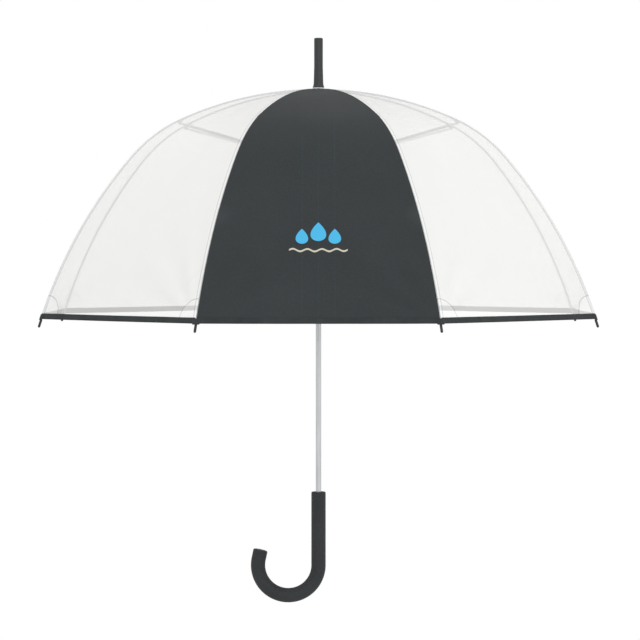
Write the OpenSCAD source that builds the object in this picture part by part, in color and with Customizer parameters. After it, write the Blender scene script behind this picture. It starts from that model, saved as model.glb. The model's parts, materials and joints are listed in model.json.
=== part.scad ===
// Dome umbrella with a curved grip, drawn open. All sizes are millimetres.
// Z runs up the shaft to the spike, Y- is the front, and the crook turns to X-.
// The origin is on the shaft axis, half way along the straight part of the grip.

/* [Canopy] */
// Span over the rib ends, from one side to the other
canopy_d = 850; // [600:10:1100]
// Height of the crown hinges above the middle of the grip
crown_z = 644.5; // [560:0.5:760]
// Bend radius of a rib near the crown, as a share of the span
crown_share = 0.644; // [0.5:0.002:1.2]
// Bend radius of a rib at the shoulder, as a share of the span
shoulder_share = 0.259; // [0.2:0.002:0.5]
// Bend radius of a rib in the skirt, as a share of the span
skirt_share = 0.785; // [0.6:0.002:1.3]
// Fall of a rib where it leaves the crown, in degrees below level
crown_slope = 2; // [0:0.5:5]
// Fall of a rib where the shoulder bend starts
shoulder_slope = 24; // [16:0.5:30]
// Fall of a rib where the skirt bend starts
skirt_slope = 48.2; // [40:0.1:60]
// Fall of a rib at the hem of the canopy
hem_slope = 71.2; // [64:0.1:80]
// Thickness of the canopy sheet
film_t = 0.3; // [0.2:0.05:0.8]

/* [Frame] */
// Diameter of a round rib
rod_d = 2.4; // [2:0.1:3.2]
// Fall of a rib at its stretcher joint
joint_slope = 25; // [20:0.5:36]
// Distance of the stretcher rivet below the middle of the rib
joint_drop = 4; // [3.4:0.1:6]
// Width of a stretcher channel
channel_w = 3.6; // [3:0.1:4.4]
// Height of a stretcher channel
channel_h = 3.4; // [2.6:0.1:4.4]
// Sheet thickness of a stretcher channel
channel_t = 0.6; // [0.4:0.05:0.8]
// Diameter of the circle on which ribs and stretchers are hinged
pivot_d = 20; // [17:0.5:26]
// Diameter of the two hinge wires
wire_d = 1; // [0.8:0.05:1.2]
// Diameter of a rib end cap
tip_d = 3.6; // [3:0.1:4.5]
// Length of a rib end cap beyond the hem
tip_l = 13; // [9:0.5:20]

/* [Shaft and runner] */
// Diameter of the shaft tube
shaft_d = 8; // [7:0.1:10]
// Wall of the shaft tube
shaft_wall = 0.8; // [0.6:0.05:1]
// Gap all round between the shaft and the runner
run_gap = 0.08; // [0.04:0.01:0.1]
// Length of the runner below its hinge wire
runner_l = 66; // [60:1:72]
// Diameter of the runner tube
runner_d = 12.8; // [12.5:0.1:15.5]

/* [Spike] */
// Diameter of the spike along its upper half
spike_d = 12.8; // [10:0.1:15]
// Diameter of the spike at its foot
spike_foot_d = 16.6; // [15:0.1:20]
// Length of the spike
spike_l = 72.8; // [50:0.5:100]

/* [Grip] */
// Diameter of the grip
grip_d = 21.2; // [17:0.1:26]
// Length of the straight part of the grip
grip_l = 108.4; // [85:0.1:130]
// Bend radius of the crook, to the middle of the grip
crook_r = 44.6; // [36:0.1:54]
// Turn of the crook in degrees
crook_turn = 192; // [160:1:230]
// Length of the straight end beyond the crook
crook_end_l = 13.5; // [4:0.5:30]

/* [Hidden] */
$fn = 48;
ribs = 8;
half_turn = 180 / ribs;
squeeze = cos(half_turn);
shaft_r = shaft_d / 2;
rod_r = rod_d / 2;
wire_r = wire_d / 2;
pivot_r = pivot_d / 2;
crown_bend = crown_share * canopy_d;
shoulder_bend = shoulder_share * canopy_d;
skirt_bend = skirt_share * canopy_d;
eye_hole = wire_r + 0.08;
eye_r = wire_r + 0.8;
tongue_t = 1.6;
tongue_l = 7.5;
slot_w = 2;
flange_r = pivot_r + 1.6;
slot_floor = pivot_r - 2.8;
collar_r = shaft_r + 2.2;
cheek_in = rod_r + 0.3;
cheek_out = cheek_in + 0.7;
rivet_r = 0.8;
film_gap = 0.45;
rod_past_hem = 6;
catch_l = 29;
catch_out = 2.9;
catch_play = 0.7;
lip_h = 2;

// Point on a rib where an arc of radius a, begun at p with slope s0, reaches slope s1.
// Points are [distance from the axis, height above the crown hinge].
function along(p, a, s0, s1) =
    [p[0] + a * (sin(s1) - sin(s0)), p[1] - a * (cos(s0) - cos(s1))];
// Middle of an arc of radius a that has slope s at p
function middle(p, a, s) = [p[0] - a * sin(s), p[1] - a * cos(s)];

crown_pt = [pivot_r, 0];
shoulder_pt = along(crown_pt, crown_bend, crown_slope, shoulder_slope);
skirt_pt = along(shoulder_pt, shoulder_bend, shoulder_slope, skirt_slope);
hem_pt = along(skirt_pt, skirt_bend, skirt_slope, hem_slope);
crown_mid = middle(crown_pt, crown_bend, crown_slope);
shoulder_mid = middle(shoulder_pt, shoulder_bend, shoulder_slope);
skirt_mid = middle(skirt_pt, skirt_bend, skirt_slope);

// Point on the rib at slope s, and the bend radius there
function rib_pt(s) =
    s <= shoulder_slope ? along(crown_pt, crown_bend, crown_slope, s)
    : s <= skirt_slope ? along(shoulder_pt, shoulder_bend, shoulder_slope, s)
    : along(skirt_pt, skirt_bend, skirt_slope, s);
function bend_at(s) =
    s <= shoulder_slope ? crown_bend : s <= skirt_slope ? shoulder_bend : skirt_bend;
// Change of slope over a length d of rib, near slope s
function slope_over(d, s) = d / bend_at(s) * 180 / PI;
joint_pt = rib_pt(joint_slope);

// The rivet of the stretcher, and the runner hinge straight below the crown hinge.
// Both links between them are equally long, so the runner travels straight.
knee_pt = joint_pt - joint_drop * [sin(joint_slope), cos(joint_slope)];
runner_pt = [pivot_r, 2 * knee_pt[1]];
link = norm(runner_pt - knee_pt);
link_turn = atan2(runner_pt[1] - knee_pt[1], runner_pt[0] - knee_pt[0]);
runner_z = crown_z + runner_pt[1];
closed_turn = 88.5;
runner_closed_z = crown_z - 2 * link * sin(closed_turn);

washer_z = crown_z + rod_r + film_gap + film_t + 0.4;
washer_t = 1.5;
spike_z = washer_z + washer_t;
shaft_top = spike_z + spike_l * 0.65;
shaft_low = grip_l / 2 - 70;
upper_catch_z = runner_z - runner_l - catch_play - catch_l;
lower_catch_z = runner_closed_z - runner_l + lip_h + catch_play + catch_l;

function rib_turn(k) = -90 + half_turn + (k - 1) * 2 * half_turn;
function panel_turn(k) = -90 + (k - 1) * 2 * half_turn;

// Point at slope s on the straight line across to the next rib, moved outward by d
function sheet_pt(s, d) =
    let (p = rib_pt(s), n = [sin(s), squeeze * cos(s)])
    [p[0] * squeeze, p[1]] + d * n / norm(n);

// Stands what is drawn flat, x outward and y up from the crown hinge, at a turn
module upright(turn)
    rotate([0, 0, turn])
    translate([0, 0, crown_z])
    rotate([90, 0, 0])
    children();

// Round bar bent about m, from slope s0 to slope s1
module bent_bar(m, a, s0, s1, r)
    translate([m[0], m[1], 0])
    rotate([0, 0, 90 - s1])
    rotate_extrude(angle = s1 - s0, $fn = 360)
    translate([a, 0])
    circle(r, $fn = 48);

// Small bead that joins two bars where one bend gives way to the next
module bead(p)
    translate([p[0], p[1], 0])
    sphere(rod_r + 0.03);

// Bar along a rib from slope a to slope b, through each bend it meets
module rib_bar(a, b) {
    if (a < shoulder_slope)
        bent_bar(crown_mid, crown_bend, a, min(b, shoulder_slope), rod_r);
    if (a < skirt_slope && b > shoulder_slope)
        bent_bar(shoulder_mid, shoulder_bend, max(a, shoulder_slope), min(b, skirt_slope), rod_r);
    if (b > skirt_slope)
        bent_bar(skirt_mid, skirt_bend, max(a, skirt_slope), b, rod_r);
    for (s = [shoulder_slope, skirt_slope])
        if (s > a && s < b) bead(rib_pt(s));
}

// Plate of thickness t, centred on the plane it is drawn in
module plate(t)
    linear_extrude(height = t, center = true)
    children();

// Ring of hinge slots and the wire groove, taken out of a flange at height z
module hinge_cuts(z, low, high) {
    for (k = [1:ribs])
        rotate([0, 0, rib_turn(k)])
        translate([slot_floor, -slot_w / 2, z + low - 1])
        cube([flange_r, slot_w, high - low + 2]);
    translate([0, 0, z])
    rotate_extrude()
    translate([pivot_r - wire_r - 0.02, -wire_r - 0.05])
    square([flange_r, wire_d + 0.1]);
}

module ring_of_wire(z)
    translate([0, 0, z])
    rotate_extrude()
    translate([pivot_r, 0])
    circle(wire_r);

// Tube open at both ends, slotted at the back for the two catches
module shaft() color("silver") {
    difference() {
        translate([0, 0, shaft_low])
        cylinder(h = shaft_top - shaft_low, r = shaft_r);
        translate([0, 0, shaft_low - 1])
        cylinder(h = shaft_top - shaft_low + 2, r = shaft_r - shaft_wall);
        translate([-1.3, 0, upper_catch_z + 12])
        cube([2.6, shaft_d, catch_l - 11.4]);
        translate([-1.3, 0, lower_catch_z - catch_l - 0.6])
        cube([2.6, shaft_d, catch_l - 11.4]);
        translate([0, 0, runner_z + 6.4])
        rotate([0, 90, 0])
        cylinder(h = 2 * shaft_d, r = 1.02, center = true);
    }
    for (z = [upper_catch_z, lower_catch_z])
        translate([0, 0, z])
        rotate([0, 90, 0])
        cylinder(h = shaft_d - shaft_wall, r = 0.5, center = true);
}

// Straight piece of grip with a rounded end
module grip_bar(l)
    rotate_extrude()
    polygon([[0, 0], [grip_d / 2, 0], [grip_d / 2, l - 1.5],
             [grip_d / 2 - 0.45, l - 0.45], [grip_d / 2 - 1.5, l], [0, l]]);

module handle() color([0.13, 0.13, 0.14]) difference() {
    union() {
        translate([0, 0, -grip_l / 2])
        grip_bar(grip_l);
        translate([-crook_r, 0, -grip_l / 2])
        rotate([90, 0, 0]) {
            rotate([0, 0, -crook_turn])
            rotate_extrude(angle = crook_turn, $fn = 120)
            translate([crook_r, 0])
            circle(grip_d / 2, $fn = 72);
            for (turn = [0, -crook_turn])
                rotate([0, 0, turn])
                translate([crook_r, 0, 0])
                sphere(grip_d / 2 + 0.03, $fn = 72);
            rotate([0, 0, -crook_turn])
            translate([crook_r, 0, 0])
            rotate([90, 0, 0])
            grip_bar(crook_end_l);
        }
    }
    translate([0, 0, shaft_low - 1])
    cylinder(h = 100, r = shaft_r + 0.02);
}

// Hub fixed at the top of the shaft, with a slot for each rib
module crown_notch() color([0.85, 0.85, 0.86]) difference() {
    union() {
        translate([0, 0, crown_z - 4])
        cylinder(h = 5.3, r = flange_r);
        translate([0, 0, crown_z - 30])
        cylinder(h = 27, r = collar_r);
    }
    hinge_cuts(crown_z, -4, 1.3);
    translate([0, 0, crown_z - 40])
    cylinder(h = 60, r = shaft_r + 0.02);
}

module notch_wire() color([0.7, 0.7, 0.72]) ring_of_wire(crown_z);

// Turned cap with a hollow foot that fits over the top of the shaft
module spike() color([0.15, 0.15, 0.16]) difference() {
    translate([0, 0, spike_z])
    rotate_extrude()
    polygon(concat(
        [[0, 0], [spike_foot_d / 2, 0]],
        [for (i = [0:6])
            [spike_d / 2 + 0.6 + (spike_foot_d - spike_d - 1.2) / 2 * pow(1 - i / 6, 2),
             1.2 + i * 1.2]],
        [[spike_d / 2, spike_l * 0.42], [spike_d / 2, spike_l - 1.4],
         [spike_d / 2 - 0.4, spike_l - 0.4], [spike_d / 2 - 1.4, spike_l],
         [0, spike_l]]));
    translate([0, 0, spike_z - 1])
    cylinder(h = shaft_top - spike_z + 1.4, r = shaft_r + 0.02);
}

module spike_washer() color([0.93, 0.93, 0.92]) translate([0, 0, washer_z]) difference() {
    cylinder(h = washer_t, r = spike_foot_d / 2 + 0.5);
    translate([0, 0, -1])
    cylinder(h = washer_t + 2, r = shaft_r + 0.02);
}

// Pin across the shaft that ends the upward travel of the runner
module stop_pin() color([0.7, 0.7, 0.72])
    translate([0, 0, runner_z + 6.4])
    rotate([0, 90, 0])
    cylinder(h = shaft_d + 4.4, r = 1, center = true);

// Slide with a slot for each stretcher, a thumb ring, and a slot at the back that lets
// the catches by and leaves a lip at its foot for them to hold
module runner() color([0.86, 0.86, 0.87]) difference() {
    union() {
        translate([0, 0, runner_z - 4])
        cylinder(h = 6, r = flange_r);
        translate([0, 0, runner_z - runner_l])
        cylinder(h = runner_l + 5, r = min(runner_d / 2, slot_floor - 0.2));
        translate([0, 0, runner_z - 42])
        cylinder(h = 3.5, r = runner_d / 2 + 2.8);
    }
    hinge_cuts(runner_z, -4, 2);
    translate([0, 0, runner_z - runner_l - 1])
    cylinder(h = runner_l + 20, r = shaft_r + run_gap);
    translate([-1.7, 0, runner_z - runner_l + lip_h])
    cube([3.4, shaft_r + catch_out + 0.2, runner_l + 20]);
}

module runner_wire() color([0.7, 0.7, 0.72]) ring_of_wire(runner_z);

// Lever inside the shaft: hinged at its foot, with a hook that stands out at the back
module catch_lever() color([0.75, 0.75, 0.77])
    rotate([90, 0, 90])
    plate(2)
    difference() {
        union() {
            polygon([[-0.9, 0], [0.9, 0], [2.4, catch_l - 8], [shaft_r + catch_out, catch_l - 2],
                     [shaft_r + catch_out, catch_l], [1, catch_l]]);
            circle(1.3);
        }
        circle(0.56);
    }

module upper_catch() translate([0, 0, upper_catch_z]) catch_lever();

module lower_catch() translate([0, 0, lower_catch_z]) mirror([0, 0, 1]) catch_lever();

// Inner part of a rib: crown eye, bar, and the riveted bracket of the stretcher joint
module rib_upper(k) color([0.55, 0.56, 0.58]) upright(rib_turn(k)) {
    rib_bar(crown_slope + slope_over(tongue_l - 1.5, crown_slope),
        joint_slope - slope_over(1.7, joint_slope));
    translate([crown_pt[0], crown_pt[1], 0])
    rotate([0, 0, -crown_slope])
    plate(tongue_t)
    difference() {
        union() {
            circle(eye_r);
            translate([0, -1.1])
            square([tongue_l, 2.2]);
        }
        circle(eye_hole);
    }
    translate([joint_pt[0], joint_pt[1], 0])
    rotate([0, 0, -joint_slope]) {
        translate([-11, -1.9, -cheek_out])
        cube([7.5, 2.7, 2 * cheek_out]);
        for (side = [-1, 1])
            translate([0, 0, side * (cheek_in + cheek_out) / 2])
            plate(cheek_out - cheek_in) {
                polygon([[-11, 0.8], [1.9, 0.8], [1.9, -joint_drop], [-1.9, -joint_drop],
                         [-5, -1.9], [-11, -1.9]]);
                translate([0, -joint_drop])
                circle(1.9);
            }
        translate([0, -joint_drop, 0]) {
            cylinder(h = 2 * cheek_out, r = rivet_r, center = true);
            for (side = [-1, 1])
                translate([0, 0, side * (cheek_out + 0.2)])
                cylinder(h = 0.5, r = 1.4, center = true);
        }
    }
}

// Outer part of a rib: a round end inside the bracket, and the long bar down to the hem
module rib_lower(k) color([0.55, 0.56, 0.58]) upright(rib_turn(k)) {
    bead(joint_pt);
    rib_bar(joint_slope, hem_slope + slope_over(rod_past_hem, hem_slope));
}

module rib_tip(k) color([0.16, 0.16, 0.17]) upright(rib_turn(k))
    translate([hem_pt[0], hem_pt[1], 0])
    rotate([0, 0, -hem_slope])
    rotate([0, 90, 0])
    difference() {
        union() {
            translate([0, 0, 1.2])
            cylinder(h = tip_l - 1.2 - tip_d / 2, r = tip_d / 2);
            translate([0, 0, tip_l - tip_d / 2])
            sphere(tip_d / 2);
        }
        cylinder(h = rod_past_hem + 0.2, r = rod_r + 0.04);
    }

// Channel of sheet metal, closed side up, flattened to a tongue at each end
module stretcher(k) color([0.62, 0.63, 0.65]) upright(rib_turn(k))
    translate([knee_pt[0], knee_pt[1], 0])
    rotate([0, 0, link_turn])
    difference() {
        union() {
            difference() {
                translate([8, -channel_h / 2, -channel_w / 2])
                cube([link - 16, channel_h, channel_w]);
                translate([7, channel_t - channel_h / 2, channel_t - channel_w / 2])
                cube([link - 14, channel_h, channel_w - 2 * channel_t]);
            }
            plate(2 * rod_r) {
                circle(1.9);
                translate([0, -1.2])
                square([16, 2.4]);
            }
            translate([link, 0, 0])
            plate(tongue_t) {
                circle(eye_r);
                translate([-16, -1.1])
                square([16, 2.2]);
            }
        }
        cylinder(h = 10, r = rivet_r + 0.08, center = true);
        translate([link, 0, 0])
        cylinder(h = 10, r = eye_hole, center = true);
    }

// Sheet between two ribs, straight from rib to rib, along the slopes listed
module sheet(k, slopes, lead) {
    low = rod_r + film_gap;
    inner = [for (s = slopes) sheet_pt(s, low)];
    outer = [for (s = slopes) sheet_pt(s, low + film_t)];
    n = len(slopes);
    ahead = lead * [-cos(slopes[0]), sin(slopes[0])];
    reach = 2 * canopy_d;
    intersection() {
        upright(panel_turn(k))
        linear_extrude(height = canopy_d, center = true)
        polygon(concat(
            lead > 0 ? [inner[0] + ahead] : [], inner,
            [for (i = [n - 1:-1:0]) outer[i]],
            lead > 0 ? [outer[0] + ahead] : []));
        rotate([0, 0, panel_turn(k)])
        translate([0.15 / sin(half_turn), 0, crown_z - reach])
        linear_extrude(height = 2 * reach)
        polygon([[0, 0], [reach, reach * tan(half_turn)], [reach, -reach * tan(half_turn)]]);
    }
}

function spread(a, b, n) = [for (i = [0:n]) a + (b - a) * i / n];
all_slopes = concat(
    spread(crown_slope, shoulder_slope, 9),
    spread(shoulder_slope, skirt_slope, 12),
    spread(skirt_slope, hem_slope, 10));
// The slopes from a to b, with both ends
function slopes_between(a, b) = concat([a], [for (s = all_slopes) if (s > a + 0.1 && s < b - 0.1) s], [b]);

// The first and fifth panels are the dark ones, in front and behind
module panel_colour(k)
    color(k == 1 || k == 5 ? [0.2, 0.22, 0.23, 1] : [0.93, 0.94, 0.94, 0.5])
    children();

module panel_upper(k) panel_colour(k)
    sheet(k, slopes_between(crown_slope, joint_slope - 0.03), pivot_r - 6.6);

module panel_lower(k) panel_colour(k)
    sheet(k, slopes_between(joint_slope + 0.03, hem_slope), 0);

shaft();
handle();
crown_notch();
notch_wire();
spike();
spike_washer();
stop_pin();
runner();
runner_wire();
upper_catch();
lower_catch();
for (k = [1:ribs]) {
    rib_upper(k);
    rib_lower(k);
    rib_tip(k);
    stretcher(k);
    panel_upper(k);
    panel_lower(k);
}
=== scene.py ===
import json
import math

import bpy
from bpy.props import FloatProperty, IntProperty, PointerProperty
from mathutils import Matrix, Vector, noise


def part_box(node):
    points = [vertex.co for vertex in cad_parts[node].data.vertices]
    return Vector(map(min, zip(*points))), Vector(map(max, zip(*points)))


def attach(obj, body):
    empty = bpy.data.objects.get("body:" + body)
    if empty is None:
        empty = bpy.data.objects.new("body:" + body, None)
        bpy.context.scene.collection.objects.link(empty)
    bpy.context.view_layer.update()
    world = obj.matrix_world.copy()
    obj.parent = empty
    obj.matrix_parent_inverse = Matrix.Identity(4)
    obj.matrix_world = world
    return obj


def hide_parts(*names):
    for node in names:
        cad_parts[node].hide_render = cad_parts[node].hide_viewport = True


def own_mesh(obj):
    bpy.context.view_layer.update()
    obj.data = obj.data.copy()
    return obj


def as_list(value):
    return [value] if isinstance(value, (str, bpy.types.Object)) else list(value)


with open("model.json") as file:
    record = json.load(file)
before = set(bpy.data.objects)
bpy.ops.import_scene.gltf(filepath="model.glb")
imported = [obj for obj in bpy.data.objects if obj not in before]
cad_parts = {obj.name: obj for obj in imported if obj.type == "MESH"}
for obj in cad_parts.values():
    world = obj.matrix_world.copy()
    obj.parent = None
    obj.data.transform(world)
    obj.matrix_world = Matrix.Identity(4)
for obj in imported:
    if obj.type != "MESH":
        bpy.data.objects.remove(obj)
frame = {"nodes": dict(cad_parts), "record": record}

bl_info = {
    "name": "Dome umbrella",
    "version": (1, 0, 0),
    "blender": (4, 2, 0),
    "location": "View3D > Sidebar > Umbrella",
    "description": "Film, cloth, trims and finishes of a dome umbrella on its rigid frame",
    "category": "Object",
}

RIBS = 8
HALF = math.pi / RIBS  # half the angle of a panel about the shaft
DARK = (1, 5)  # panels of dark cloth, front and back

# Lengths are in metres
CENTRE_HOLE = 0.0068  # radius of the hole round the shaft
GRAIN_DEPTH, GRAIN_LENGTH = 0.0007, 0.085  # slow unevenness of a sheet
PULL_DEPTH, PULL_LENGTH = 0.00022, 0.031  # fine pull lines above the hem
FAN_DEPTH, FAN_REACH = 0.0011, 0.05  # folds that fan out from a corner
WELD, WELD_LINE = 0.0052, 0.0048  # welded edge of the film, and its line
PATCH, PATCH_LINE = 0.0345, 0.034  # clear patch at a film corner, and its line
TIE_REACH = 0.026  # how far a tie draws the cloth in
WEAVE, TAPE_RIB = 0.0016, 0.0012  # pitch of the threads and of the ribs of the tape
TAPE_ROW, TAPE_COLUMNS = 0.002, 56
HEM_DROP, HEM_TURN = 0.0005, 0.0004  # how far the tape goes past the hem and turns
POCKET_COLUMNS = 16
POCKET_FOLDED = 0.5  # share of a pocket's width, passed to fold_with as its folded width
FLOOR_GAP, FLOOR_HALF = 0.001, 6.0
SENSOR = 36  # camera sensor width in millimetres

CLOTH = (0.036, 0.041, 0.043)
TAPE = (0.045, 0.05, 0.052)
PRINT_BLUE = (0.075, 0.46, 0.76, 1)
PRINT_CREAM = (0.60, 0.57, 0.46, 1)


# ---------------------------------------------------------------- sizes


class CanopyShape(bpy.types.PropertyGroup):
    """Sizes of the open canopy"""

    span: FloatProperty(
        name="Span", description="Span over the rib ends", default=0.850, unit="LENGTH"
    )
    crown_z: FloatProperty(
        name="Crown height",
        description="Height of the crown hinges",
        default=0.6445,
        unit="LENGTH",
    )
    pivot: FloatProperty(
        name="Hinge radius",
        description="Distance of the crown hinges from the shaft axis",
        default=0.010,
        unit="LENGTH",
    )
    crown_share: FloatProperty(
        name="Crown bend",
        description="Bend radius near the crown, as a share of the span",
        default=0.644,
        subtype="FACTOR",
    )
    shoulder_share: FloatProperty(
        name="Shoulder bend",
        description="Bend radius at the shoulder, as a share of the span",
        default=0.259,
        subtype="FACTOR",
    )
    skirt_share: FloatProperty(
        name="Skirt bend",
        description="Bend radius in the skirt, as a share of the span",
        default=0.785,
        subtype="FACTOR",
    )
    crown_slope: FloatProperty(
        name="Crown slope",
        description="Fall of a rib where it leaves the crown",
        default=math.radians(2),
        subtype="ANGLE",
    )
    shoulder_slope: FloatProperty(
        name="Shoulder slope",
        description="Fall of a rib where the shoulder bend starts",
        default=math.radians(24),
        subtype="ANGLE",
    )
    joint_slope: FloatProperty(
        name="Joint slope",
        description="Fall of a rib at its joint, where the upper panels end",
        default=math.radians(25),
        subtype="ANGLE",
    )
    skirt_slope: FloatProperty(
        name="Skirt slope",
        description="Fall of a rib where the skirt bend starts",
        default=math.radians(48.2),
        subtype="ANGLE",
    )
    hem_slope: FloatProperty(
        name="Hem slope",
        description="Fall of a rib at the hem",
        default=math.radians(71.2),
        subtype="ANGLE",
    )
    lift: FloatProperty(
        name="Lift",
        description="Height of the sheet above the middle of a rib",
        default=0.0018,
        unit="LENGTH",
    )
    sag: FloatProperty(
        name="Hollow",
        description="Depth of the hollow between two ribs",
        default=0.0026,
        unit="LENGTH",
    )
    row: FloatProperty(
        name="Row",
        description="Length of a mesh row along a rib",
        default=0.005,
        unit="LENGTH",
    )
    columns: IntProperty(
        name="Columns", description="Mesh columns across a panel", default=48
    )
    folded: FloatProperty(
        name="Folded width",
        description="Share of a panel's width left when the canopy is folded",
        default=0.075,
        subtype="FACTOR",
    )


class TrimSizes(bpy.types.PropertyGroup):
    """Sizes and places of the tape, pockets, print and ties"""

    tape: FloatProperty(
        name="Tape", description="Width of the hem tape", default=0.0075, unit="LENGTH"
    )
    tape_rise: FloatProperty(
        name="Tape rise",
        description="Height of the tape above and below the sheet",
        default=0.00045,
        unit="LENGTH",
    )
    pocket: FloatProperty(
        name="Pocket", description="Size of a corner pocket", default=0.0085, unit="LENGTH"
    )
    print_z: FloatProperty(
        name="Print height",
        description="Height of the middle of the print",
        default=0.4275,
        unit="LENGTH",
    )
    drop: FloatProperty(
        name="Drop", description="Height of a printed drop", default=0.029, unit="LENGTH"
    )
    wave: FloatProperty(
        name="Wave",
        description="Length of the printed wavy line",
        default=0.078,
        unit="LENGTH",
    )
    tie_z: FloatProperty(
        name="Tie height",
        description="Height at which the cloth is tied to the ribs",
        default=0.455,
        unit="LENGTH",
    )


class StageSizes(bpy.types.PropertyGroup):
    """Place and lens of the camera"""

    distance: FloatProperty(
        name="Distance",
        description="Camera distance from the shaft",
        default=3.825,
        unit="LENGTH",
    )
    height: FloatProperty(
        name="Height", description="Camera height", default=0.4115, unit="LENGTH"
    )
    side: FloatProperty(
        name="Side",
        description="Camera distance to the right of the shaft",
        default=0.0022,
        unit="LENGTH",
    )
    down: FloatProperty(
        name="Tilt",
        description="Downward tilt of the camera",
        default=math.radians(1.56),
        subtype="ANGLE",
    )
    lens: FloatProperty(
        name="Lens", description="Focal length in millimetres", default=146.3, unit="CAMERA"
    )


# ---------------------------------------------------------------- shader arithmetic


class Wire:
    """A shader socket. Arithmetic on it makes Math nodes."""

    def __init__(self, tree, socket):
        self.tree, self.socket = tree, socket

    def make(self, kind, inputs=(), out=0, **settings):
        """Adds one node, sets its settings, and feeds its inputs by index or name."""
        node = self.tree.nodes.new(kind)
        for key, value in settings.items():
            setattr(node, key, value)
        for key, value in dict(inputs).items():
            if isinstance(value, Wire):
                self.tree.links.new(value.socket, node.inputs[key])
            else:
                node.inputs[key].default_value = value
        return Wire(self.tree, node.outputs[out]) if node.outputs else None

    def parts(self):
        """The three numbers of a vector."""
        node = self.make("ShaderNodeSeparateXYZ", {0: self}).socket.node
        return [Wire(self.tree, output) for output in node.outputs]

    def math(self, operation, *others):
        return self.make(
            "ShaderNodeMath",
            enumerate((self, *others)),
            operation=operation,
        )

    def __add__(self, other):
        return self.math("ADD", other)

    def __sub__(self, other):
        return self.math("SUBTRACT", other)

    def __mul__(self, other):
        return self.math("MULTIPLY", other)

    __radd__, __rmul__ = __add__, __mul__

    def __rsub__(self, other):
        return self * -1.0 + other

    def __truediv__(self, other):
        return self.math("DIVIDE", other)

    def __rtruediv__(self, other):
        return self.math("POWER", -1.0) * other

    def __abs__(self):
        return self.math("ABSOLUTE")

    def ramp(self, low, high):
        """0 at low, 1 at high, smooth between and flat outside."""
        return self.make(
            "ShaderNodeMapRange",
            {0: self, 1: low, 2: high, 3: 0.0, 4: 1.0},
            interpolation_type="SMOOTHSTEP",
        )

    def blend(self, low, high):
        """The colour low where this is 0 and high where it is 1."""
        return self.make(
            "ShaderNodeMix",
            {0: self, 6: low, 7: high},
            out=2,
            data_type="RGBA",
            clamp_factor=True,
        )


def grey(value, alpha=1.0):
    return (value, value, value, alpha)


class Finish:
    """A Principled material with helpers for its varying inputs."""

    def __init__(self, name, colour, **constants):
        self.material = bpy.data.materials.new(name)
        self.material.use_nodes = True
        self.tree = self.material.node_tree
        self.shader = next(
            n for n in self.tree.nodes if n.type == "BSDF_PRINCIPLED"
        )
        self.start = Wire(self.tree, None)
        self.shader.inputs["Base Color"].default_value = (*colour, 1.0)
        for key, value in constants.items():
            self.shader.inputs[key.replace("_", " ")].default_value = value

    def feed(self, **wires):
        for key, wire in wires.items():
            self.tree.links.new(wire.socket, self.shader.inputs[key.replace("_", " ")])

    def place(self, scale=1.0, squeeze=(1.0, 1.0, 1.0)):
        """The point in the part's own frame, in metres."""
        at = self.start.make("ShaderNodeTexCoord", out=3)
        return self.start.make(
            "ShaderNodeMapping",
            {0: at, 3: tuple(scale * s for s in squeeze)},
        )

    def map(self, name):
        """Both numbers of a UV map made in code."""
        return self.start.make("ShaderNodeUVMap", uv_map=name).parts()[:2]

    def noise(self, at, scale, detail=2.0, roughness=0.5):
        return self.start.make(
            "ShaderNodeTexNoise",
            {"Vector": at, "Scale": scale, "Detail": detail, "Roughness": roughness},
        )

    def bump(self, height, strength, distance):
        return self.start.make(
            "ShaderNodeBump",
            {"Strength": strength, "Distance": distance, "Height": height},
        )


# ---------------------------------------------------------------- canopy geometry


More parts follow.
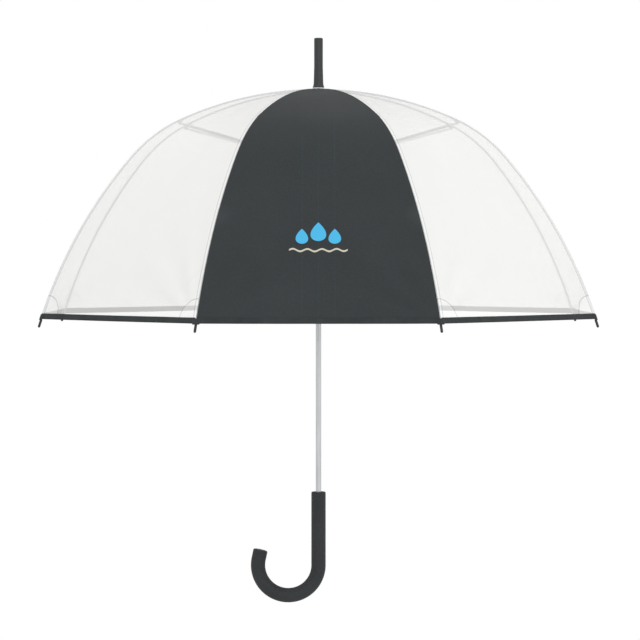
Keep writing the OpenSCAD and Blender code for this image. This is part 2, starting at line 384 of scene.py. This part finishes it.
class Canopy:
    """The open canopy, by arc length along a rib and share of the way across a panel."""

    def __init__(self, shape):
        self.s = shape
        self.bends = [
            (shape.crown_share * shape.span, shape.crown_slope, shape.shoulder_slope),
            (shape.shoulder_share * shape.span, shape.shoulder_slope, shape.skirt_slope),
            (shape.skirt_share * shape.span, shape.skirt_slope, shape.hem_slope),
        ]
        self.lengths = [a * (end - first) for a, first, end in self.bends]
        self.length = sum(self.lengths)
        a, first, _ = self.bends[1]
        self.joint = self.lengths[0] + a * (shape.joint_slope - first)
        self.start = CENTRE_HOLE / math.cos(HALF) - shape.pivot

    def rib(self, t):
        """Distance from the axis, height above the crown hinge, and slope, t along a rib."""
        r, z, slope = self.s.pivot, 0.0, self.s.crown_slope
        if t > 0:
            for (a, first, _), length in zip(self.bends, self.lengths):
                part = min(t, length)
                slope = first + part / a
                r += a * (math.sin(slope) - math.sin(first))
                z -= a * (math.cos(first) - math.cos(slope))
                t -= part
                if t <= 0:
                    break
        return r + t * math.cos(slope), z - t * math.sin(slope), slope

    def half(self, t):
        """Half the width of a panel, t along its ribs."""
        return self.rib(t)[0] * math.sin(HALF)

    def hollow(self, k, t, u):
        """Depth of the sheet below the straight line from rib to rib."""
        side = (1 - abs(u)) * self.half(t)
        hem = max(0.0, self.length - t)
        ease = min(1.0, max(0.0, t / 0.06)) * min(1.0, 0.35 + hem / 0.09) * (1 - u * u)
        grain = noise.noise(Vector((u * 2.2 + 7 * k, t / GRAIN_LENGTH, 0.3 * k)))
        pull = math.sin(u * 19 + t / PULL_LENGTH + k) * math.exp(-hem / 0.07)
        depth = (self.s.sag + GRAIN_DEPTH * grain + PULL_DEPTH * pull) * ease
        reach = math.hypot(side, hem)
        fan = math.sin(11 * math.atan2(hem, side + 1e-6) + 2 * k + u)
        fold = FAN_DEPTH * fan * (reach / FAN_REACH) * math.exp(1 - reach / FAN_REACH)
        return depth + fold * min(1.0, side / 0.03) * min(1.0, 0.15 + hem / 0.04)

    def point(self, k, t, u, off=0.0):
        """A point on panel k, u from -1 to 1 across it, off outward of the sheet."""
        r, z, slope = self.rib(t)
        out = Vector((math.sin(slope), 0, math.cos(HALF) * math.cos(slope))).normalized()
        at = Vector((r * math.cos(HALF), u * self.half(t), z))
        at += out * (self.s.lift - self.hollow(k, t, u) + off)
        turn = panel_turn(k)
        c, s = math.cos(turn), math.sin(turn)
        return Vector((c * at.x - s * at.y, s * at.x + c * at.y, at.z + self.s.crown_z))

    def area(self, low, high, steps=80):
        """Flat area of a panel between two arc lengths."""
        d = (high - low) / steps
        return sum(2 * self.half(low + (i + 0.5) * d) * d for i in range(steps))

    def arc_at(self, height):
        """Arc length at which the middle of a panel is at this height."""
        low, high = 0.0, self.length
        for _ in range(40):
            mid = (low + high) / 2
            if self.point(1, mid, 0.0).z > height:
                low = mid
            else:
                high = mid
        return low


def panel_turn(k):
    return -math.pi / 2 + (k - 1) * 2 * HALF


def rows_between(low, high, step):
    """Even stations from low to high, about step apart."""
    n = max(2, round((high - low) / step))
    return [low + (high - low) * i / n for i in range(n + 1)]


def across(count, edge=1.0):
    """Even stations from -edge to edge."""
    return [-edge + 2 * edge * i / count for i in range(count + 1)]


def grid_mesh(name, rows, columns, point, maps):
    """A grid of quads. point(row, column) places a corner, and maps gives each UV map."""
    verts = [point(r, c) for r in rows for c in columns]
    wide = len(columns)
    faces = [
        (i * wide + j, (i + 1) * wide + j, (i + 1) * wide + j + 1, i * wide + j + 1)
        for i in range(len(rows) - 1)
        for j in range(wide - 1)
    ]
    mesh = bpy.data.meshes.new(name)
    mesh.from_pydata([tuple(v) for v in verts], [], faces)
    for label, where in maps.items():
        layer = mesh.uv_layers.new(name=label)
        spots = [where(r, c) for r in rows for c in columns]
        for corner in mesh.loops:
            layer.data[corner.index].uv = spots[corner.vertex_index]
    for face in mesh.polygons:
        face.use_smooth = True
    mesh.update()
    obj = bpy.data.objects.new(name, mesh)
    bpy.context.scene.collection.objects.link(obj)
    return obj


def panel_strip(canopy, name, k, low, high):
    """Part of a panel between two arc lengths, with its two UV maps in metres."""
    return grid_mesh(
        name,
        rows_between(low, high, canopy.s.row),
        across(canopy.s.columns),
        lambda t, u: canopy.point(k, t, u),
        {
            "Flat": lambda t, u: (u * canopy.half(t), t),
            "Rim": lambda t, u: ((1 - abs(u)) * canopy.half(t), canopy.length - t),
        },
    )


def fold_with(canopy, obj, body, keep):
    """Rides on a body."""
    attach(obj, body)
    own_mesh(obj)


# ---------------------------------------------------------------- finishes


def film_finish():
    """Clear soft film: milky, glossy, denser where it is welded and at its corners, with
    dark seam lines and painted shade in the creases near its corners.
    """
    f = Finish("clear_film", (0.93, 0.94, 0.94), Roughness=0.2, IOR=1.45)
    side, hem = f.map("Rim")
    weld = side.ramp(WELD, WELD - 0.0008)
    line = abs(side - WELD_LINE).ramp(0.0010, 0.0003)
    corner = (side * side + hem * hem).math("SQRT")
    patch = corner.ramp(PATCH, PATCH - 0.001)
    edge = abs(corner - PATCH_LINE).ramp(0.0013, 0.0003)
    haze = f.noise(f.place(7.0), 1.0, 3.0)
    crease = f.noise(f.place(30.0, (1, 1, 0.3)), 1.0, 3.0)
    near = corner.ramp(0.11, 0.02)
    dense = haze * 0.10 + weld * 0.12 + patch * 0.08 + 0.56
    f.feed(Alpha=dense.math("MINIMUM", 0.97))
    # Dark weld and patch seam lines, plus painted shade darkening the creases near the
    # corners
    seams_and_crease_shade = line * 0.85 + edge * 0.8 + (crease.ramp(0.55, 0.8) * near) * 0.5
    seams_and_crease_shade = seams_and_crease_shade.math("MINIMUM", 1.0)
    f.feed(Base_Color=seams_and_crease_shade.blend((0.93, 0.93, 0.915, 1), (0.5, 0.51, 0.51, 1)))
    ripple = crease * (near * 1.4 + 0.6) + weld * 0.4
    f.feed(Normal=f.bump(ripple, 0.35, 0.002))
    return f.material


def cloth_finish(name, canopy, trims, printed):
    """Dark plain-woven cloth, drawn in a little where it is tied to the ribs, with painted
    light: lighter at the ties and towards the hem.
    """
    f = Finish(
        name, CLOTH, Roughness=0.85, Specular_IOR_Level=0.2, Sheen_Weight=0.04,
        Sheen_Roughness=0.5,
    )
    u, v = f.map("Flat")
    side = f.map("Rim")[0]
    pitch = 2 * math.pi / WEAVE
    weave = (u * pitch).math("SINE") * (v * pitch).math("SINE")
    slub = f.noise(f.place(340.0), 1.0, 2.0)
    soft = f.noise(f.place(11.0), 1.0, 2.0)
    drop = v - canopy.arc_at(trims.tie_z)
    tie = (side * side + drop * drop).math("SQRT").ramp(TIE_REACH, 0.0)
    # Weave, slub and soft are the cloth's own tone; tie and v add painted light, lighter at
    # the tie dimples and lighter towards the hem
    shade = weave * 0.08 + slub * 0.30 + soft * 0.22 + tie * 0.25 + v * 0.30 + 0.60
    colour = (shade * 0.5).blend(grey(0.0), (*(2 * c for c in CLOTH), 1))
    if printed:
        colour = print_on(canopy, trims, colour, u, v)
    f.feed(Base_Color=colour)
    pucker = f.noise(f.place(60.0, (1, 1, 3)), 1.0, 2.0) * tie * 6.0
    f.feed(Normal=f.bump(weave * 0.5 + slub + pucker - tie * 4.0, 0.35, 0.0004))
    return f.material


# Sideways place, foot and size of each printed drop, as shares of the drop's height
DROPS = ((-0.76, -0.35, 0.8), (0.0, -0.2, 1.0), (0.76, -0.35, 0.8))


def print_on(canopy, trims, colour, u, v):
    """Three drops above a wavy line, printed on the cloth."""
    y = v * -1.0 + canopy.arc_at(trims.print_z)
    for side, foot, size in DROPS:
        tall = trims.drop * size
        down = (y - foot * trims.drop) / -tall + 1.0
        inside = (1 - down).math("MAXIMUM", 0.0).math("SQRT")
        width = down.math("MAXIMUM", 0.0) * inside * (tall * 0.95)
        drop = (width - abs(u - side * trims.drop)).ramp(-0.0001, 0.0003)
        colour = drop.blend(colour, PRINT_BLUE)
    swell = (u * (2 * math.pi / (trims.wave / 4))).math("SINE") * 0.0018
    off = abs(y - swell + trims.drop * 0.68)
    wave = off.ramp(0.0015, 0.0011) * abs(u).ramp(trims.wave / 2 + 0.0004, trims.wave / 2)
    return wave.blend(colour, PRINT_CREAM)


def tape_finish():
    """Dark ribbed ribbon."""
    f = Finish(
        "hem_tape", TAPE, Roughness=0.8, Specular_IOR_Level=0.25, Sheen_Weight=0.04
    )
    u = f.map("Flat")[0]
    ribs = (u * (2 * math.pi / TAPE_RIB)).math("SINE")
    cloud = f.noise(f.place(60.0), 1.0, 2.0)
    shade = cloud * 0.6 + ribs * 0.1
    f.feed(Base_Color=shade.blend((0.022, 0.025, 0.026, 1), (0.060, 0.066, 0.068, 1)))
    f.feed(Normal=f.bump(ribs, 0.4, 0.0003))
    return f.material


def solid_finish(name, low, high, grain, strength, squeeze=(1, 1, 1), **constants):
    """A rigid finish whose colour and gloss drift a little over the surface."""
    f = Finish(name, low, **constants)
    fine = f.noise(f.place(grain, squeeze), 1.0, 3.0)
    broad = f.noise(f.place(18.0), 1.0, 2.0)
    mixed = (fine * 0.6 + broad * 0.4).ramp(0.3, 0.7)
    f.feed(Base_Color=mixed.blend((*low, 1), (*high, 1)))
    f.feed(Roughness=fine * 0.16 + (constants["Roughness"] - 0.08))
    f.feed(Normal=f.bump(fine, strength, 0.0003))
    return f.material


# Finish, darker and lighter colour, grain per metre, bump, and further settings
SOLIDS = {
    "bright_tube": (
        (0.58, 0.59, 0.60), (0.70, 0.71, 0.72), 300.0, 0.05,
        dict(squeeze=(1, 1, 0.05), Roughness=0.3, Metallic=1.0),
    ),
    "rib_steel": (
        (0.40, 0.41, 0.42), (0.52, 0.53, 0.54), 200.0, 0.05,
        dict(Roughness=0.42, Metallic=0.6),
    ),
    "channel_steel": (
        (0.50, 0.51, 0.52), (0.64, 0.65, 0.66), 160.0, 0.05,
        dict(Roughness=0.38, Metallic=1.0),
    ),
    "plain_steel": (
        (0.52, 0.52, 0.53), (0.64, 0.64, 0.66), 400.0, 0.05,
        dict(Roughness=0.32, Metallic=1.0),
    ),
    "grip_black": (
        (0.020, 0.023, 0.025), (0.032, 0.036, 0.039), 900.0, 0.25,
        dict(Roughness=0.66, Specular_IOR_Level=0.35),
    ),
    "cap_black": (
        (0.026, 0.029, 0.031), (0.040, 0.044, 0.046), 500.0, 0.12,
        dict(Roughness=0.5, Specular_IOR_Level=0.4),
    ),
    "tip_black": (
        (0.022, 0.024, 0.026), (0.036, 0.039, 0.041), 500.0, 0.10,
        dict(Roughness=0.5, Specular_IOR_Level=0.35),
    ),
    "pale_plastic": (
        (0.70, 0.71, 0.71), (0.78, 0.79, 0.79), 200.0, 0.05,
        dict(Roughness=0.35),
    ),
    "milky_plastic": (
        (0.80, 0.81, 0.80), (0.86, 0.87, 0.86), 200.0, 0.05,
        dict(Roughness=0.4, Transmission_Weight=0.25),
    ),
}


# ---------------------------------------------------------------- builders


def add_film(scene):
    """Clear film panels and the two dark cloth panels."""
    canopy, trims = Canopy(scene.canopy_shape), scene.trim_sizes
    film = film_finish()
    front, back = DARK
    cloths = {
        front: cloth_finish("dark_cloth_front", canopy, trims, True),
        back: cloth_finish("dark_cloth_back", canopy, trims, False),
    }
    for k in range(1, RIBS + 1):
        kind, slot = ("cloth", "dark_cloth") if k in DARK else ("film", "clear_film")
        for part, low, high in (
            ("upper", canopy.start, canopy.joint),
            ("lower", canopy.joint, canopy.length),
        ):
            piece = panel_strip(canopy, f"{kind}_{part}_{k}", k, low, high)
            piece.data.materials.append(cloths.get(k, film))
            fold_with(canopy, piece, f"panel_{part}_{k}", canopy.s.folded)
            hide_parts(f"panel_{part}_{k}")


def add_trims(scene):
    """Hem tapes round the edge, and the small cloth pockets that hold the rib ends."""
    canopy, trims = Canopy(scene.canopy_shape), scene.trim_sizes
    tape = tape_finish()
    for k in range(1, RIBS + 1):
        strip = tape_wrap(canopy, f"hem_tape_{k}", k, trims)
        fold_with(canopy, strip, f"panel_lower_{k}", canopy.s.folded)
        pocket = corner_pocket(canopy, f"corner_pocket_{k}", k, trims.pocket)
        fold_with(canopy, pocket, f"rib_lower_{k}", POCKET_FOLDED)
        for piece in (strip, pocket):
            piece.data.materials.append(tape)
        declare_sheets(canopy, [strip, pocket])


def declare_sheets(canopy, trims):
    """Works out the flat width, length and area of both sheets of a panel, and keeps none of
    them.
    """
    for part, low, high, extras in (
        ("upper", canopy.start, canopy.joint, []),
        ("lower", canopy.joint, canopy.length, trims),
    ):
        2 * canopy.half(high)
        high - low
        canopy.area(low, high)
        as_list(extras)


def tape_wrap(canopy, name, k, trims):
    """A ribbon folded round the hem: down the outside, under, and up the inside."""
    low, high = canopy.length - trims.tape, canopy.length + HEM_DROP
    rise = trims.tape_rise
    rows = rows_between(low, high, TAPE_ROW)
    path = [(t, rise) for t in rows]
    path += [(high + HEM_TURN, 0.0)]
    path += [(t, -rise) for t in reversed(rows)]
    place = {p: i * TAPE_ROW for i, p in enumerate(path)}
    return grid_mesh(
        name,
        path,
        across(TAPE_COLUMNS, 0.996),
        lambda p, u: canopy.point(k, p[0], u, p[1] * (1 - 0.3 * abs(u) ** 8)),
        {"Flat": lambda p, u: (u * canopy.half(p[0]), place[p])},
    )


def corner_pocket(canopy, name, k, size):
    """A folded patch over the corner where two panels meet at rib k."""
    rows = rows_between(canopy.length - size * 0.7, canopy.length + size * 0.3, size / 10)

    def at(t, w):
        down = (t - rows[0]) / (rows[-1] - rows[0])
        reach = size * (0.35 + 0.4 * math.sin(math.pi * (0.1 + down * 0.8)))
        u = 1 - abs(w) * reach / canopy.half(t)
        edge = 0.0012 - 0.0006 * abs(w) ** 3
        if w > 0:
            return canopy.point(k % RIBS + 1, t, -u, edge)
        return canopy.point(k, t, u, edge)

    return grid_mesh(
        name,
        rows,
        across(POCKET_COLUMNS),
        at,
        {"Flat": lambda t, w: (w * size, t)},
    )


def add_frame_finishes():
    """Procedural finishes on the rigid pieces, which keep their own shapes."""
    finishes = {
        name: solid_finish(name, low, high, grain, bump, **more)
        for name, (low, high, grain, bump, more) in SOLIDS.items()
    }
    for part in frame["record"]["subparts"]:
        node = frame["nodes"].get(part["node"])
        if node and part["material_slot"] in finishes:
            node.data.materials.clear()
            node.data.materials.append(finishes[part["material_slot"]])


def add_camera(scene):
    s = scene.stage_sizes
    camera = bpy.data.objects.new("camera", bpy.data.cameras.new("camera"))
    camera.data.lens = s.lens
    camera.data.sensor_width = SENSOR
    camera.data.clip_end = 100
    camera.location = (s.side, -s.distance, s.height)
    camera.rotation_euler = (math.pi / 2 - s.down, 0, 0)
    scene.collection.objects.link(camera)
    scene.camera = camera
    scene.view_settings.view_transform = "Standard"


def add_world(scene):
    """A pale studio that looks plain white behind the part."""
    world = bpy.data.worlds.new("studio")
    scene.world = world
    world.use_nodes = True
    tree = world.node_tree
    tree.nodes.clear()
    start = Wire(tree, None)
    x, y, z = start.make("ShaderNodeTexCoord").parts()
    tone = (x * 0.04 + z * 0.08 + y * -0.06 + 0.83).math("MAXIMUM", 0.2)
    soft = start.make("ShaderNodeBackground", {0: grey(1.0), 1: tone})
    plain = start.make("ShaderNodeBackground", {0: grey(1.0), 1: 1.0})
    seen = start.make("ShaderNodeLightPath")
    mixed = start.make("ShaderNodeMixShader", {0: seen, 1: soft, 2: plain})
    start.make("ShaderNodeOutputWorld", {0: mixed})


def add_floor():
    """A white floor just under the grip. Its faces point down: clear above, solid below."""
    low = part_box("handle")[0].z - FLOOR_GAP
    floor = grid_mesh(
        "floor",
        [-FLOOR_HALF, FLOOR_HALF],
        [-FLOOR_HALF, FLOOR_HALF],
        lambda a, b: Vector((-a, b, low)),
        {},
    )
    paint = bpy.data.materials.new("floor_white")
    paint.use_nodes = True
    tree = paint.node_tree
    tree.nodes.clear()
    start = Wire(tree, None)
    glow = start.make("ShaderNodeEmission", {0: grey(1.0), 1: 1.0})
    clear = start.make("ShaderNodeBsdfTransparent")
    behind = start.make("ShaderNodeNewGeometry", out=6)
    both = start.make("ShaderNodeMixShader", {0: behind, 1: glow, 2: clear})
    start.make("ShaderNodeOutputMaterial", {0: both})
    floor.data.materials.append(paint)


LIGHT_AIM = Vector((0, 0, 0.45))

# Name, place, size and power of each soft light
LIGHTS = (
    ("key", (1.0, -3.0, 1.8), 1.8, 20.0),
    ("top", (-0.3, 0.2, 2.6), 2.2, 7.0),
)


def add_lights(scene):
    for name, place, size, power in LIGHTS:
        light = bpy.data.objects.new(name, bpy.data.lights.new(name, "AREA"))
        light.data.size = size
        light.data.energy = power
        light.location = place
        aim = LIGHT_AIM - Vector(place)
        light.rotation_euler = aim.to_track_quat("-Z", "Y").to_euler()
        scene.collection.objects.link(light)


# ---------------------------------------------------------------- add-on


class UMBRELLA_OT_canopy(bpy.types.Operator):
    """Adds the film and cloth panels"""

    bl_idname = "umbrella.canopy"
    bl_label = "Canopy panels"

    def execute(self, context):
        add_film(context.scene)
        return {"FINISHED"}


class UMBRELLA_OT_trims(bpy.types.Operator):
    """Adds the hem tapes and corner pockets"""

    bl_idname = "umbrella.trims"
    bl_label = "Hem and corners"

    def execute(self, context):
        add_trims(context.scene)
        return {"FINISHED"}


class UMBRELLA_OT_frame(bpy.types.Operator):
    """Gives the shaft, ribs, grip and small parts their finishes"""

    bl_idname = "umbrella.frame"
    bl_label = "Frame finishes"

    def execute(self, context):
        add_frame_finishes()
        return {"FINISHED"}


class UMBRELLA_OT_stage(bpy.types.Operator):
    """Sets the camera, the world, the floor and the lights"""

    bl_idname = "umbrella.stage"
    bl_label = "Stage"

    def execute(self, context):
        add_camera(context.scene)
        add_world(context.scene)
        add_floor()
        add_lights(context.scene)
        return {"FINISHED"}


class UMBRELLA_PT_panel(bpy.types.Panel):
    """Lists the sizes and the operators"""

    bl_label = "Umbrella"
    bl_idname = "UMBRELLA_PT_panel"
    bl_space_type = "VIEW_3D"
    bl_region_type = "UI"
    bl_category = "Umbrella"

    def draw(self, context):
        scene = context.scene
        for group, operator in (
            (scene.canopy_shape, "umbrella.canopy"),
            (scene.trim_sizes, "umbrella.trims"),
            (None, "umbrella.frame"),
            (scene.stage_sizes, "umbrella.stage"),
        ):
            box = self.layout.box()
            if group:
                for name in group.__annotations__:
                    box.prop(group, name)
            box.operator(operator)


CLASSES = (
    CanopyShape,
    TrimSizes,
    StageSizes,
    UMBRELLA_OT_canopy,
    UMBRELLA_OT_trims,
    UMBRELLA_OT_frame,
    UMBRELLA_OT_stage,
    UMBRELLA_PT_panel,
)
GROUPS = {
    "canopy_shape": CanopyShape,
    "trim_sizes": TrimSizes,
    "stage_sizes": StageSizes,
}


def register():
    for cls in CLASSES:
        bpy.utils.register_class(cls)
    for name, cls in GROUPS.items():
        setattr(bpy.types.Scene, name, PointerProperty(type=cls))


def unregister():
    for name in GROUPS:
        delattr(bpy.types.Scene, name)
    for cls in reversed(CLASSES):
        bpy.utils.unregister_class(cls)


def main():
    register()
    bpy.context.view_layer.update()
    bpy.ops.umbrella.canopy()
    bpy.ops.umbrella.trims()
    bpy.ops.umbrella.frame()
    bpy.ops.umbrella.stage()


if __name__ == "__main__":
    main()
